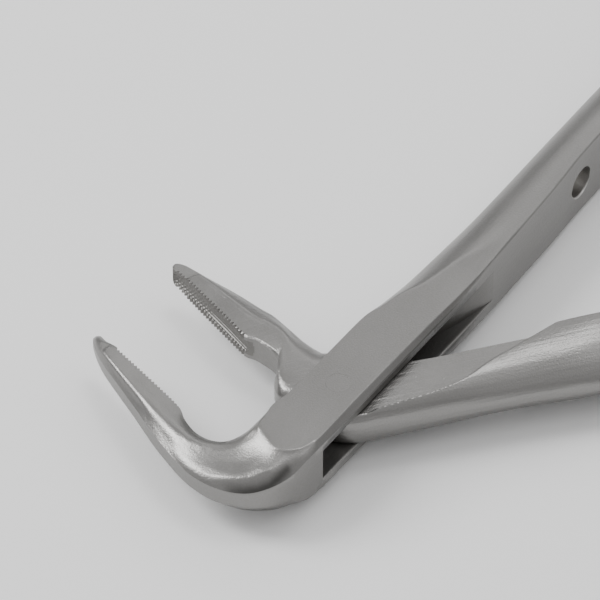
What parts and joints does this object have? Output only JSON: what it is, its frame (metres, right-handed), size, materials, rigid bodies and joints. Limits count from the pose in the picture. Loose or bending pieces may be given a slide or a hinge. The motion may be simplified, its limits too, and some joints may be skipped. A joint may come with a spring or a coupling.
{
  "type": "extraction forceps",
  "caption": "Lower-jaw tooth extraction forceps: slim serrated beaks bent square to the handles, a box joint on a flush pin and D-section handles.",
  "frame": {"origin": "on the pivot axis, at the flat underside of the box joint", "axes": "+Z is the pivot axis, +X runs between the two handles towards their ends, +Y is the way the beaks point"},
  "size_m": [0.162, 0.1019, 0.011],
  "materials": {
    "forged_steel": "satin, fine longitudinal brushing",
    "pin_steel": "satin, ground flush with the box"
  },
  "bodies": {
    "outer": {"outer_half": "forged_steel", "joint_pin": "pin_steel"},
    "inner": {"inner_half": "forged_steel"}
  },
  "joints": [
    {"name": "box_joint", "type": "hinge", "parent": "outer", "child": "inner", "pos_m": [0, 0, 0], "axis": [0, 0, 1], "range_deg": [-12, 24]}
  ]
}
